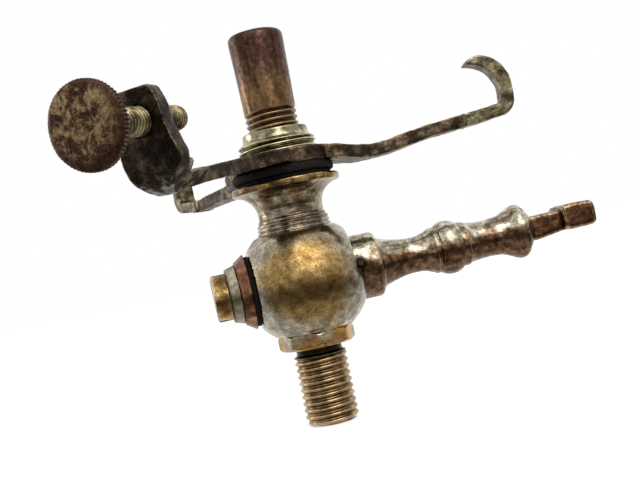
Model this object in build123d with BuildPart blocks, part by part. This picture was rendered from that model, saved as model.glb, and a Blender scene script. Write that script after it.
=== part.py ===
from build123d import *
import math
import os

os.makedirs("parts", exist_ok=True)

# A gas burner with its tap and a three-armed shade gallery. Millimetres, +Z up the burner.
# The origin is on the burner's axis, where the inlet thread starts below its relief groove.
# The tap's key turns about a line close to X, with its lever towards +X.

# Inlet tail and spanner collar
inlet_r = 5.0
inlet_length = 12.9
inlet_chamfer = 0.8
relief_r = 4.3
relief_height = 1.45
relief_cone = 0.3
collar_across_flats = 13.5
collar_r = 7.2
collar_top = 4.45
collar_bevel = 0.5
view_turn = -2.5

# Gaps between pieces, and how far a cutting shape runs past what it cuts
fit_gap = 0.05
slip_gap = 0.02
seat_gap = 0.1
end_play = 0.04
washer_gap = 0.01
overrun = 1.0
groove_overrun = 0.1

# Globe and the tapered seat of the key, as distances along the key from the burner's axis
key_z = 13.9
key_tilt = 0.9
globe_r = 12.0
globe_cut = 9.5
gas_bore_r = 2.4
seat_big_r = 5.3
seat_small_r = 4.1
seat_mouth = 8.75
lip_end = 10.1
face_cut_width = 30
face_cut_depth = 10

# Neck, flange and spigot, as heights above the key's axis
bead_low = 9.36
bead_top = 11.6
bead_r = 6.74
bead_cone = 0.5
bead_first = 0.55
bead_step = 0.6
bead_groove = 0.16
bead_grooves = 3
neck_z = 13.1
neck_r = 6.1
neck_arc = 4.2
flange_r = 10.2
flange_top = 18.6
spigot_r = 7.35
spigot_cone = 25.9
spigot_band = 26.8
spigot_band_r = 6.05
spigot_top = 28.3
spigot_groove = 0.45
spigot_grooves = (24.0, 25.05)

# Burner tube and its inner pieces, as heights above the key's axis
tube_r = 5.2
tube_thread_r = 4.9
tube_flare_z = 32.0
tube_bore_r = 3.6
tube_bottom = 22.1
tube_top = 46.9
tube_roof = 1.3
tube_round = 1.0
tube_mouth_r = 3.2
tube_thread_z = 29.3
tube_thread_pitch = 1.1
tube_thread_count = 3
tube_groove = 0.3
slit_width = 0.5
slit_depth = 1.9
tip_height = 3.0
tip_bore_r = 1.8
tip_bore = 2.6
dome_rim = 0.6
dome_side = (1.76, 0.12)
check_rise = 0.8
check_thickness = 1.2
check_hole_circle = 1.9
check_hole_r = 0.5
check_holes = 4

# Washers under the gallery
thin_washer = 0.7
thin_washer_r = 8.9
thin_washer_round = 0.3
thick_washer_r = 9.7
thick_washer_round = 0.65
gallery_z = 21.0

# Key, stop pin and the small end's washers, as distances along the key from the burner's axis
key_collar_r = 6.1
key_collar_end = 14.1
stub_r = 3.4
stub_flat = 2.6
stub_end = -12.4
port_r = 2.1
port_turn = 82.5
screw_r = 1.5
screw_depth = 7.0
screw_head_r = 4.35
screw_head = (-14.4, -17.2)
screw_chamfer = 0.3
screw_clearance = 0.5
slot_width = 1.4
slot_depth = 1.8
slot_turn = 78
fibre_washer_end = -10.45
fibre_washer_r = 6.6
bevelled_washer_end = -12.4
bevelled_washer_r = (7.15, 5.85)
screw_washer_r = (5.5, 5.0)
pin_r = 0.65
pin_x = 9.7
pin_tip = 7.1
pin_root = 3.9
pin_lift = 7.2
pin_chamfer = 0.15

# Lever's two hollows and two beads, as (distance along the key, radius)
first_root = (15.1, 4.5)
first_waist = (21.2, 3.3)
first_rim = ((25.1, 4.4), (25.6, 4.4), (25.8, 4.2))
middle_bead = ((26.0, 4.5), (28.1, 5.25), (30.2, 4.5))
second_root = ((30.3, 4.15), (31.7, 4.15), (32.3, 3.8))
second_waist = (36.3, 3.5)
end_bead = ((41.2, 4.95), (42.3, 5.2), (43.3, 4.65))
lever_nose = ((44.6, 3.0), (45.0, 1.8))

# Lever's end
bar_size = (4.9, 4.6)
bar_corner = 0.6
bar_start = 43.6
block_start = 50.9
block_end = 57.1
block_size = (8.2, 4.8)
block_corner = 0.7
block_rise = 0.65
block_chamfer = 0.5

# Gallery: the azimuths of its arms, with the key's lever at 0
right_azimuth = view_turn
rear_azimuth = view_turn + 117
front_azimuth = view_turn - 120
ring_r = 9.4
ring_height = 2.7
arm_thickness = 2.45
arm_bend_r = 25
arm_end_width = 3.3
arm_start = 7.8
arms_low = 10.0
arms_high = 30.0
root_width = 12.0
waist = (16.5, 5.8)
waist_arc = 11
right_arm_end = 35.65
rear_arm_end = 33.9
front_arm_end = 34.95
right_hook_width = 3.3
rear_hook_width = 4.2
brazed_thickness = 2.4

# Ear and thumbscrew, in the plane of the front arm
ear_front = 1.1
ear_back = -1.8
ear_lean = 5.2
hole_radius_out = 43.75
hole_z = 28.33
ear_top = 33.1
ear_bottom = 17.25
ear_half_width = 6.0
ear_reach = 60.0
ear_trim = 0.1
hole_reach = 4.0
shank_r = 2.3
shank_tip_r = 2.0
shank_taper_end = -2.5
shank_in = -11.0
shank_shoulder = 12.3
shank_round = 1.0
head_r = 6.4
head_thickness = 1.8
head_round = 0.3
rivet_r = 1.5
rivet_length = 1.1


def save(part, name):
    """Labels a finished piece and writes it under its node's name."""
    part.label = name
    export_step(part, f"parts/{name}.step")


def ring_groove(radius, z, depth):
    """The ring that a V-shaped groove, as deep as it is half wide, takes off a shaft on Z."""
    with BuildPart() as groove:
        with BuildSketch(Plane.XZ):
            with BuildLine():
                Polyline(
                    (radius + groove_overrun, z - depth - groove_overrun),
                    (radius - depth, z),
                    (radius + groove_overrun, z + depth + groove_overrun),
                    close=True,
                )
            make_face()
        revolve(axis=Axis.Z)
    return groove.part


# The key's own directions: along it towards the lever, and its plane with the burner's axis.
tilt = math.radians(key_tilt)
key_line = (math.cos(tilt), 0, math.sin(tilt))
key_axis = Axis((0, 0, key_z), key_line)
key_plane = Plane(origin=(0, 0, key_z), x_dir=key_line, z_dir=(0, -1, 0))


def across_key(x):
    """The plane square to the key at a distance along it; its y is away from the tail."""
    return Plane(
        origin=(x * key_line[0], 0, key_z + x * key_line[2]),
        x_dir=(0, 1, 0),
        z_dir=key_line,
    )


# ---- Tap body: tail, collar, globe, neck, flange and spigot in one casting ----
globe_foot_r = math.sqrt(globe_r**2 - bead_low**2)
octagon_r = collar_across_flats / 2 / math.cos(math.pi / 8)
seat_slope = (seat_big_r - seat_small_r) / (seat_mouth + globe_cut)

# The space that the key and its collar turn in, with the globe's two flat faces.
with BuildPart() as key_way:
    with BuildSketch(across_key(-globe_cut)):
        Rectangle(face_cut_width, 2 * globe_r)
    extrude(amount=-face_cut_depth)
    with BuildSketch(across_key(seat_mouth)):
        Rectangle(face_cut_width, globe_r, align=(Align.CENTER, Align.MIN))
    extrude(amount=face_cut_depth)
    with BuildSketch(across_key(lip_end)):
        Rectangle(face_cut_width, globe_r, align=(Align.CENTER, Align.MAX))
    extrude(amount=face_cut_depth)
    with BuildSketch(key_plane):
        with BuildLine():
            Polyline(
                (-globe_cut - overrun, 0),
                (-globe_cut - overrun, seat_small_r + fit_gap - seat_slope * overrun),
                (seat_mouth, seat_big_r + fit_gap),
                (seat_mouth, key_collar_r + 2 * fit_gap),
                (lip_end + overrun, key_collar_r + 2 * fit_gap),
                (lip_end + overrun, 0),
                close=True,
            )
        make_face()
    revolve(axis=key_axis)

with BuildPart() as tap_body:
    # The spanner collar: eight flats with bevelled corners.
    with BuildSketch(Plane.XY.offset(relief_height)):
        RegularPolygon(radius=octagon_r, side_count=8, rotation=view_turn)
    extrude(amount=collar_top - relief_height)
    with BuildSketch(Plane.XZ):
        with BuildLine():
            Polyline(
                (0, relief_height),
                (collar_r - collar_bevel, relief_height),
                (collar_r, relief_height + collar_bevel),
                (collar_r, collar_top - collar_bevel),
                (collar_r - collar_bevel, collar_top),
                (0, collar_top),
                close=True,
            )
        make_face()
    revolve(axis=Axis.Z, mode=Mode.INTERSECT)

    # The tail below the collar.
    with BuildSketch(Plane.XZ):
        with BuildLine():
            Polyline(
                (0, -inlet_length),
                (inlet_r - inlet_chamfer, -inlet_length),
                (inlet_r, -inlet_length + inlet_chamfer),
                (inlet_r, 0),
                (relief_r, relief_cone),
                (relief_r, relief_height),
                (0, relief_height),
                close=True,
            )
        make_face()
    revolve(axis=Axis.Z)

    # Globe, bead band, neck, flange and spigot.
    with BuildSketch(Plane.XZ):
        with BuildLine():
            Polyline((0, collar_top), (globe_foot_r, collar_top), (globe_foot_r, key_z - bead_low))
            ThreePointArc(
                (globe_foot_r, key_z - bead_low),
                (globe_r, key_z),
                (globe_foot_r, key_z + bead_low),
            )
            Polyline(
                (globe_foot_r, key_z + bead_low),
                (bead_r, key_z + bead_low),
                (bead_r, key_z + bead_top),
                (neck_r, key_z + bead_top + bead_cone),
                (neck_r, key_z + neck_z),
            )
            RadiusArc(
                (neck_r, key_z + neck_z),
                (neck_r + neck_arc, key_z + neck_z + neck_arc),
                neck_arc,
            )
            Polyline(
                (neck_r + neck_arc, key_z + neck_z + neck_arc),
                (flange_r, key_z + neck_z + neck_arc),
                (flange_r, key_z + flange_top),
                (spigot_r, key_z + flange_top),
                (spigot_r, key_z + spigot_cone),
                (spigot_band_r, key_z + spigot_band),
                (spigot_band_r, key_z + spigot_top),
                (0, key_z + spigot_top),
                (0, collar_top),
            )
        make_face()
    revolve(axis=Axis.Z)

    # Turned grooves round the bead band, and the thread above the gallery.
    for step in range(bead_grooves):
        height = key_z + bead_low + bead_first + bead_step * step
        add(ring_groove(bead_r, height, bead_groove), mode=Mode.SUBTRACT)
    for height in spigot_grooves:
        add(ring_groove(spigot_r, key_z + height, spigot_groove), mode=Mode.SUBTRACT)

    add(key_way.part, mode=Mode.SUBTRACT)

    # The gas way from the tail to the socket for the burner tube.
    with BuildSketch(Plane.XY.offset(-inlet_length)):
        Circle(gas_bore_r)
    extrude(amount=inlet_length + key_z + spigot_top, mode=Mode.SUBTRACT)
    with BuildSketch(Plane.XY.offset(key_z + tube_bottom)):
        Circle(tube_thread_r)
    extrude(amount=spigot_top - tube_bottom, mode=Mode.SUBTRACT)
save(tap_body.part, "tap_body")


# ---- Key: tapered plug, collar and baluster lever turned in one piece ----
key_seat_end = -globe_cut - end_play

with BuildPart() as tap_key:
    with BuildSketch(key_plane):
        with BuildLine():
            Polyline(
                (stub_end, 0),
                (stub_end, stub_r),
                (key_seat_end, stub_r),
                (key_seat_end, seat_small_r),
                (seat_mouth - seat_gap, seat_big_r),
                (seat_mouth + seat_gap, seat_big_r),
                (seat_mouth + seat_gap, key_collar_r),
                (key_collar_end, key_collar_r),
                first_root,
            )
            # The first hollow, up to a fillet before the middle bead.
            TangentArc(first_waist, first_root, tangent=(-1, 0))
            TangentArc(first_waist, first_rim[0], tangent=(1, 0))
            Polyline(*first_rim, middle_bead[0])
            ThreePointArc(*middle_bead)
            Polyline(middle_bead[-1], *second_root)
            # The second hollow, up to the end bead.
            TangentArc(second_waist, second_root[-1], tangent=(-1, 0))
            TangentArc(second_waist, end_bead[0], tangent=(1, 0))
            ThreePointArc(*end_bead)
            ThreePointArc(end_bead[-1], *lever_nose)
            Polyline(lever_nose[-1], (lever_nose[-1][0], 0), (stub_end, 0))
        make_face()
    revolve(axis=key_axis)

    # Two flats on the small end keep the washers turning with the key.
    with BuildSketch(across_key(stub_end)):
        for side in (Align.MIN, Align.MAX):
            offset_y = stub_flat if side == Align.MIN else -stub_flat
            with Locations((offset_y, 0)):
                Rectangle(stub_r, 3 * stub_r, align=(side, Align.CENTER))
    extrude(amount=key_seat_end - stub_end, mode=Mode.SUBTRACT)

    # The lever's square bar and the block across its end.
    with BuildSketch(across_key(bar_start)):
        RectangleRounded(*bar_size, bar_corner)
    extrude(amount=block_start + overrun - bar_start)
    with BuildSketch(across_key(block_start)):
        with Locations((0, block_rise)):
            RectangleRounded(*block_size, block_corner)
    extrude(amount=block_end - block_start)
    chamfer(tap_key.faces().sort_by(Axis.X)[-1].edges(), length=block_chamfer)

    # The gas port lies across the key, and the small end is tapped for its screw.
    port = Plane(
        origin=(0, 0, key_z),
        z_dir=(0, -math.sin(math.radians(port_turn)), math.cos(math.radians(port_turn))),
    )
    with BuildSketch(port):
        Circle(port_r)
    extrude(amount=seat_big_r + overrun, both=True, mode=Mode.SUBTRACT)
    with BuildSketch(across_key(stub_end)):
        Circle(screw_r)
    extrude(amount=screw_depth, mode=Mode.SUBTRACT)

    # The hole for the stop pin.
    lift = math.radians(pin_lift)
    pin_foot = across_key(pin_x)
    pin_plane = Plane(
        origin=pin_foot.origin,
        z_dir=pin_foot.y_dir * math.sin(lift) - pin_foot.x_dir * math.cos(lift),
    )
    with BuildSketch(pin_plane.offset(pin_root)):
        Circle(pin_r)
    extrude(amount=pin_tip - pin_root + overrun, mode=Mode.SUBTRACT)
save(tap_key.part, "tap_key")

with BuildPart() as stop_pin:
    with BuildSketch(pin_plane.offset(pin_root)):
        Circle(pin_r)
    extrude(amount=pin_tip - pin_root)
    chamfer(stop_pin.edges().filter_by(GeomType.CIRCLE).sort_by(Axis.Y)[0], length=pin_chamfer)
save(stop_pin.part, "stop_pin")


# ---- Washers and screw on the key's small end ----
def end_washer(x_near, x_far, r_near, r_far, keyed):
    """A washer on the key's axis, flat or conical; a keyed one fits the small end's flats."""
    with BuildPart() as washer:
        with BuildSketch(key_plane):
            with BuildLine():
                Polyline((x_near, 0), (x_near, r_near), (x_far, r_far), (x_far, 0), close=True)
            make_face()
        revolve(axis=key_axis)
        with BuildSketch(across_key(x_far)):
            if keyed:
                Circle(stub_r + fit_gap)
                Rectangle(2 * (stub_flat + fit_gap), 3 * stub_r, mode=Mode.INTERSECT)
            else:
                Circle(screw_r + fit_gap)
        extrude(amount=x_near - x_far, mode=Mode.SUBTRACT)
    return washer.part


fibre_start = key_seat_end - washer_gap
save(
    end_washer(fibre_start, fibre_washer_end, fibre_washer_r, fibre_washer_r, True),
    "fibre_washer",
)
save(
    end_washer(fibre_washer_end, bevelled_washer_end, *bevelled_washer_r, True),
    "bevelled_washer",
)
save(
    end_washer(bevelled_washer_end, screw_head[0], *screw_washer_r, False),
    "screw_washer",
)

with BuildPart() as key_screw:
    with BuildSketch(across_key(screw_head[1])):
        Circle(screw_head_r)
    extrude(amount=screw_head[0] - screw_head[1])
    chamfer(key_screw.edges().sort_by(Axis.X)[0], length=screw_chamfer)
    with BuildSketch(across_key(screw_head[0])):
        Circle(screw_r)
    extrude(amount=stub_end + screw_depth - screw_clearance - screw_head[0])
    with BuildSketch(across_key(screw_head[1])):
        with Locations(Location((0, 0), slot_turn)):
            Rectangle(2 * (screw_head_r + overrun), slot_width)
    extrude(amount=slot_depth, mode=Mode.SUBTRACT)
save(key_screw.part, "key_screw")


# ---- Leather washers between the flange and the gallery ----
def gallery_washer(low, high, radius, rounding):
    """A flat ring round the spigot with rounded rims."""
    with BuildPart() as washer:
        with BuildSketch(Plane.XY.offset(low)):
            Circle(radius)
            Circle(spigot_r, mode=Mode.SUBTRACT)
        extrude(amount=high - low)
        rims = washer.edges().filter_by(GeomType.CIRCLE).filter_by(lambda e: e.radius > spigot_r + overrun)
        fillet(rims, radius=rounding)
    return washer.part


washer_seam = key_z + flange_top + thin_washer
washer_top = key_z + gallery_z - slip_gap
save(gallery_washer(key_z + flange_top, washer_seam, thin_washer_r, thin_washer_round), "thin_washer")
save(gallery_washer(washer_seam, washer_top, thick_washer_r, thick_washer_round), "thick_washer")


# ---- Gallery: a ring with three arms, two brazed hooks and a brazed ear ----
def radial_plane(azimuth):
    """The upright plane through the burner's axis: x is the distance out, y the height."""
    turn = math.radians(azimuth)
    return Plane(
        origin=(0, 0, key_z),
        x_dir=(math.cos(turn), math.sin(turn), 0),
        z_dir=(math.sin(turn), -math.cos(turn), 0),
    )


def gallery_arm(azimuth, top_points):
    """A flat arm bent along its top line, wide at the ring and narrow at its end."""
    low_points = [(out, height - arm_thickness) for out, height in top_points]
    end = top_points[-1][0]
    half_root, half_waist, half_end = root_width / 2, waist[1] / 2, arm_end_width / 2
    with BuildPart() as arm:
        with BuildSketch(radial_plane(azimuth)):
            with BuildLine():
                FilletPolyline(*top_points, radius=arm_bend_r)
                FilletPolyline(*low_points, radius=arm_bend_r)
                Line(top_points[0], low_points[0])
                Line(top_points[-1], low_points[-1])
            make_face()
        extrude(amount=half_root, both=True)
        with BuildSketch(Plane.XY.offset(key_z + arms_low).rotated((0, 0, azimuth))):
            with BuildLine():
                RadiusArc((arm_start, half_root), (waist[0], half_waist), waist_arc)
                Polyline(
                    (waist[0], half_waist),
                    (end, half_end),
                    (end, -half_end),
                    (waist[0], -half_waist),
                )
                RadiusArc((waist[0], -half_waist), (arm_start, -half_root), waist_arc)
                Line((arm_start, -half_root), (arm_start, half_root))
            make_face()
        extrude(amount=arms_high - arms_low, mode=Mode.INTERSECT)
    return arm.part


right_top = ((arm_start, 23.5), (10.0, 23.2), (16.5, 21.9), (28.6, 23.9), (right_arm_end, 24.5))
rear_top = ((arm_start, 23.5), (10.0, 23.0), (19.0, 21.1), (27.0, 21.0), (rear_arm_end, 20.6))
front_top = ((arm_start, 23.6), (10.0, 23.6), (21.7, 22.3), (29.0, 21.45), (front_arm_end, 20.75))

with BuildPart() as gallery_spider:
    with BuildSketch(Plane.XY.offset(key_z + gallery_z)):
        Circle(ring_r)
    extrude(amount=ring_height)
    for azimuth, top_line in (
        (right_azimuth, right_top),
        (rear_azimuth, rear_top),
        (front_azimuth, front_top),
    ):
        add(gallery_arm(azimuth, top_line))
    with BuildSketch(Plane.XY.offset(key_z + gallery_z - overrun)):
        Circle(spigot_r + fit_gap)
    extrude(amount=ring_height + 2 * overrun, mode=Mode.SUBTRACT)
    # The arms' undersides are filed flush with the ring over the washer.
    with BuildSketch(Plane.XY.offset(key_z + gallery_z)):
        Circle(thick_washer_r + 2 * fit_gap)
    extrude(amount=-arm_thickness, mode=Mode.SUBTRACT)
save(gallery_spider.part, "gallery_spider")


def gallery_hook(azimuth, start, foot, width, tip, throat):
    """A hook that rises from an arm's end and curls inwards over the shade's rim.

    Its profile is measured from the arm's end and its own foot. tip holds the points from
    the crown round the end of the hook, and throat is the middle of its inner curve.
    """
    crown, nose, lip = tip
    with BuildPart() as hook:
        with BuildSketch(radial_plane(azimuth)):
            with BuildLine(mode=Mode.PRIVATE) as outline:
                Line((0, 0), (7.6, 0.9))
                ThreePointArc((7.6, 0.9), (9.6, 1.9), (10.4, 4.0))
                Line((10.4, 4.0), (10.4, 6.4))
                ThreePointArc((10.4, 6.4), (8.7, 11.1), crown)
                ThreePointArc(crown, nose, lip)
                ThreePointArc(lip, throat, (8.0, 5.6))
                Line((8.0, 5.6), (8.0, 4.2))
                ThreePointArc((8.0, 4.2), (7.65, 3.45), (6.9, 3.15))
                Line((6.9, 3.15), (0, brazed_thickness))
                Line((0, brazed_thickness), (0, 0))
            with BuildLine():
                add(outline.line.moved(Location((start, foot))))
            make_face()
        extrude(amount=width / 2, both=True)
    return hook.part


full_tip = ((5.1, 13.0), (3.3, 12.6), (2.0, 11.4))
short_tip = ((6.6, 12.6), (5.2, 12.6), (4.4, 11.5))
right_foot = right_top[-1][1] - arm_thickness
rear_foot = rear_top[-1][1] - arm_thickness
right_hook = gallery_hook(right_azimuth, right_arm_end, right_foot, right_hook_width, full_tip, (6.4, 9.6))
rear_hook = gallery_hook(rear_azimuth, rear_arm_end, rear_foot, rear_hook_width, short_tip, (7.3, 8.9))
save(right_hook, "gallery_hook_right")
save(rear_hook, "gallery_hook_rear")

# The thumbscrew's axis dips outwards with the ear's lean.
front = math.radians(front_azimuth)
lean = math.radians(ear_lean)
screw_out = Vector(
    math.cos(lean) * math.cos(front),
    math.cos(lean) * math.sin(front),
    -math.sin(lean),
)
screw_origin = Vector(
    hole_radius_out * math.cos(front),
    hole_radius_out * math.sin(front),
    key_z + hole_z,
)
screw_plane = Plane(origin=screw_origin, z_dir=screw_out)


def face_out(height, offset):
    """How far out the plane at an offset from the thumbscrew's hole lies at a height."""
    return hole_radius_out + (height - hole_z) * math.tan(lean) + offset


with BuildPart() as gallery_ear:
    front_foot = front_top[-1][1] - arm_thickness
    outer_bend = (face_out(21.0, ear_front), 21.0)
    inner_bend = (face_out(21.6, ear_back), 21.6)
    with BuildSketch(radial_plane(front_azimuth)):
        with BuildLine():
            Line((front_arm_end, front_foot), (40.2, ear_bottom))
            ThreePointArc((40.2, ear_bottom), (43.0, 18.3), outer_bend)
            Polyline(
                outer_bend,
                (face_out(ear_top, ear_front), ear_top),
                (face_out(ear_top, ear_back), ear_top),
                inner_bend,
            )
            ThreePointArc(inner_bend, (40.9, 20.45), (39.6, 19.95))
            Line((39.6, 19.95), (front_arm_end, front_foot + brazed_thickness))
            Line((front_arm_end, front_foot + brazed_thickness), (front_arm_end, front_foot))
        make_face()
    extrude(amount=ear_half_width, both=True)
    # The outline seen from the front: a hand-filed shield, fuller on its right.
    shield = Plane(
        origin=(0, 0, key_z),
        x_dir=(-math.sin(front), math.cos(front), 0),
        z_dir=(math.cos(front), math.sin(front), 0),
    )
    half_end = arm_end_width / 2
    shield_low = ear_bottom - overrun
    shield_top = ear_top + ear_trim
    with BuildSketch(shield):
        with BuildLine():
            Polyline((0, shield_low), (half_end, shield_low), (half_end, 17.4), (4.3, 19.8))
            ThreePointArc((4.3, 19.8), (5.45, 21.9), (5.05, 24.4))
            Polyline((5.05, 24.4), (4.3, 27.3), (4.1, 30.4), (3.4, 32.6), (2.8, shield_top))
            Polyline((2.8, shield_top), (-2.6, shield_top), (-3.3, 32.6), (-4.1, 30.2))
            Polyline((-4.1, 30.2), (-4.4, 27.0), (-4.65, 23.5))
            ThreePointArc((-4.65, 23.5), (-4.05, 20.7), (-2.9, 18.7))
            Polyline((-2.9, 18.7), (-half_end, 17.4), (-half_end, shield_low), (0, shield_low))
        make_face()
    extrude(amount=ear_reach, mode=Mode.INTERSECT)
    with BuildSketch(screw_plane.offset(-hole_reach)):
        Circle(shank_r + fit_gap)
    extrude(amount=2 * hole_reach, mode=Mode.SUBTRACT)
save(gallery_ear.part, "gallery_ear")


# ---- Thumbscrew: threaded shank and knurled disc head ----
with BuildPart() as thumbscrew_shank:
    with BuildSketch(screw_plane.offset(shank_in)):
        Circle(shank_tip_r)
    with BuildSketch(screw_plane.offset(shank_taper_end)):
        Circle(shank_r)
    loft()
    with BuildSketch(screw_plane.offset(shank_taper_end)):
        Circle(shank_r)
    extrude(amount=shank_shoulder - shank_taper_end)
    tip_edge = sorted(
        thumbscrew_shank.edges().filter_by(GeomType.CIRCLE),
        key=lambda e: e.center().X**2 + e.center().Y**2,
    )[0]
    fillet(tip_edge, radius=shank_round)
    with BuildSketch(screw_plane.offset(shank_shoulder)):
        Circle(rivet_r)
    extrude(amount=rivet_length)
save(thumbscrew_shank.part, "thumbscrew_shank")

with BuildPart() as thumbscrew_head:
    with BuildSketch(screw_plane.offset(shank_shoulder + fit_gap)):
        Circle(head_r)
    extrude(amount=head_thickness)
    fillet(thumbscrew_head.edges().filter_by(GeomType.CIRCLE), radius=head_round)
    with BuildSketch(screw_plane.offset(shank_shoulder + fit_gap)):
        Circle(rivet_r + fit_gap)
    extrude(amount=rivet_length + fit_gap, mode=Mode.SUBTRACT)
save(thumbscrew_head.part, "thumbscrew_head")


# ---- Burner tube, slit tip and flow check ----
with BuildPart() as burner_tube:
    with BuildSketch(Plane.XZ):
        with BuildLine():
            Polyline(
                (0, key_z + tube_bottom),
                (tube_thread_r, key_z + tube_bottom),
                (tube_thread_r, key_z + tube_flare_z),
                (tube_r, key_z + tube_top),
                (0, key_z + tube_top),
                close=True,
            )
        make_face()
    revolve(axis=Axis.Z)
    fillet(burner_tube.edges().filter_by(GeomType.CIRCLE).sort_by(Axis.Z)[-1], radius=tube_round)
    for turn in range(tube_thread_count):
        height = key_z + tube_thread_z + turn * tube_thread_pitch
        add(ring_groove(tube_thread_r, height, tube_groove), mode=Mode.SUBTRACT)
    with BuildSketch(Plane.XY.offset(key_z + tube_bottom)):
        Circle(tube_bore_r)
    extrude(amount=tube_top - tube_roof - tube_bottom, mode=Mode.SUBTRACT)
    with BuildSketch(Plane.XY.offset(key_z + tube_bottom)):
        Circle(tube_mouth_r)
    extrude(amount=tube_top - tube_bottom, mode=Mode.SUBTRACT)
save(burner_tube.part, "burner_tube")

tip_low = key_z + tube_top - tube_roof - tip_height
tip_shoulder = key_z + tube_top - tube_roof - fit_gap
tip_crown = key_z + tube_top
with BuildPart() as slit_tip:
    with BuildSketch(Plane.XZ):
        with BuildLine():
            Polyline(
                (0, tip_low),
                (tube_bore_r - fit_gap, tip_low),
                (tube_bore_r - fit_gap, tip_shoulder),
                (tube_mouth_r - fit_gap, tip_shoulder),
                (tube_mouth_r - fit_gap, tip_crown - dome_rim),
            )
            ThreePointArc(
                (tube_mouth_r - fit_gap, tip_crown - dome_rim),
                (dome_side[0], tip_crown - dome_side[1]),
                (0, tip_crown),
            )
            Line((0, tip_crown), (0, tip_low))
        make_face()
    revolve(axis=Axis.Z)
    with BuildSketch(Plane.XY.offset(tip_low)):
        Circle(tip_bore_r)
    extrude(amount=tip_bore, mode=Mode.SUBTRACT)
    with BuildSketch(Plane.XY.offset(tip_crown + overrun)):
        Rectangle(2 * (tube_mouth_r + overrun), slit_width, rotation=view_turn)
    extrude(amount=-slit_depth - overrun, mode=Mode.SUBTRACT)
save(slit_tip.part, "slit_tip")

with BuildPart() as flow_check:
    with BuildSketch(Plane.XY.offset(key_z + tube_bottom + check_rise)):
        Circle(tube_bore_r - slip_gap)
        with PolarLocations(check_hole_circle, check_holes):
            Circle(check_hole_r, mode=Mode.SUBTRACT)
    extrude(amount=check_thickness)
save(flow_check.part, "flow_check")
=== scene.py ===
import math

import bpy
import numpy as np
from mathutils import Matrix, Quaternion, Vector, noise


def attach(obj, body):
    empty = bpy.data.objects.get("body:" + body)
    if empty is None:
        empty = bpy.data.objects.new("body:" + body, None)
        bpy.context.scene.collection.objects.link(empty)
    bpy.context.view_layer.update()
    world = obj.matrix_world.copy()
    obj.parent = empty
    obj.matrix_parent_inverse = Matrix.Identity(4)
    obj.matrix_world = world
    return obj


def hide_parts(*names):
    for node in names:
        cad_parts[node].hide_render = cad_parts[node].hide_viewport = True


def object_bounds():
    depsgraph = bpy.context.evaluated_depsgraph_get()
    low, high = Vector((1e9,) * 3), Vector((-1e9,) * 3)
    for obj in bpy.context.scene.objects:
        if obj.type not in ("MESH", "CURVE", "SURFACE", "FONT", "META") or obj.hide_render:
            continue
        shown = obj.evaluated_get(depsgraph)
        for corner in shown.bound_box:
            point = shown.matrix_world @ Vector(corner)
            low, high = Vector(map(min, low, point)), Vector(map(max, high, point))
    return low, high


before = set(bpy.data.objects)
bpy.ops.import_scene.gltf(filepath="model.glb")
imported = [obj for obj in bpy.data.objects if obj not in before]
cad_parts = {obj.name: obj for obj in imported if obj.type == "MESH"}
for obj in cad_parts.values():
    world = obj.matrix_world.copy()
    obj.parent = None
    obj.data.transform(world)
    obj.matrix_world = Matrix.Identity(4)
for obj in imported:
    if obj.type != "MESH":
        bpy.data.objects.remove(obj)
cad_low, cad_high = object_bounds()

# Lengths below are millimetres in the burner's frame, and MM turns them into Blender's metres.
MM = 0.001
KEY_Z = 13.9
KEY_TILT = 0.9
FRONT_AZIMUTH = -122.5
REST_TURN = -2.5
EAR_LEAN = 5.2
HOLE_OUT = 43.75
HOLE_HEIGHT = 28.33
GLOBE_R = 12.0
GLOBE_CUT = 9.5
SEAT_MOUTH = 8.75
LIP_END = 10.1

# ---- Camera ----
VIEW_AZIMUTH = -8.5
VIEW_ELEVATION = -1.0
VIEW_ROLL = -11.7
VIEW_DISTANCE = 0.185
SENSOR_WIDTH = 36.0
FOCAL_LENGTH = 56.04
CLIP_START = 0.01
AIM = Vector((4.02 * MM, 0, (KEY_Z + 7.0) * MM))


def towards(azimuth, elevation):
    """The unit vector at an azimuth from the front and an elevation, in degrees."""
    a, e = math.radians(azimuth), math.radians(elevation)
    return Vector((math.sin(a) * math.cos(e), -math.cos(a) * math.cos(e), math.sin(e)))


def make_camera():
    back = towards(VIEW_AZIMUTH, VIEW_ELEVATION)
    data = bpy.data.cameras.new("camera")
    data.sensor_width = SENSOR_WIDTH
    data.lens = FOCAL_LENGTH
    data.clip_start = CLIP_START
    camera = bpy.data.objects.new("camera", data)
    bpy.context.scene.collection.objects.link(camera)
    camera.location = AIM + back * VIEW_DISTANCE
    camera.rotation_mode = "QUATERNION"
    turn = Quaternion((0, 0, 1), math.radians(VIEW_ROLL))
    camera.rotation_quaternion = (-back).to_track_quat("-Z", "Y") @ turn
    bpy.context.scene.camera = camera


make_camera()


# ---- Local frames: each turned piece is made along its own z ----
def axis_frame(origin, along, side):
    z = Vector(along).normalized()
    x = (Vector(side) - z * Vector(side).dot(z)).normalized()
    y = z.cross(x)
    rows = Matrix((x, y, z)).transposed().to_4x4()
    rows.translation = Vector(origin)
    return rows


tilt = math.radians(KEY_TILT)
front = math.radians(FRONT_AZIMUTH)
lean = math.radians(EAR_LEAN)
KEY_FRAME = axis_frame((0, 0, KEY_Z), (math.cos(tilt), 0, math.sin(tilt)), (0, 1, 0))
HOLE = (HOLE_OUT * math.cos(front), HOLE_OUT * math.sin(front), KEY_Z + HOLE_HEIGHT)
SCREW_FRAME = axis_frame(
    HOLE,
    (math.cos(lean) * math.cos(front), math.cos(lean) * math.sin(front), -math.sin(lean)),
    (0, 0, 1),
)
BURNER_FRAME = Matrix.Identity(4)
PIN_MOUTH = (9.8, -6.2, KEY_Z + 1.0)
FRONT_WEAR = (-0.8, -12.0, KEY_Z + 0.2)
UP, DOWN = (0, 0, 1), (0, 0, -1)


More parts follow.
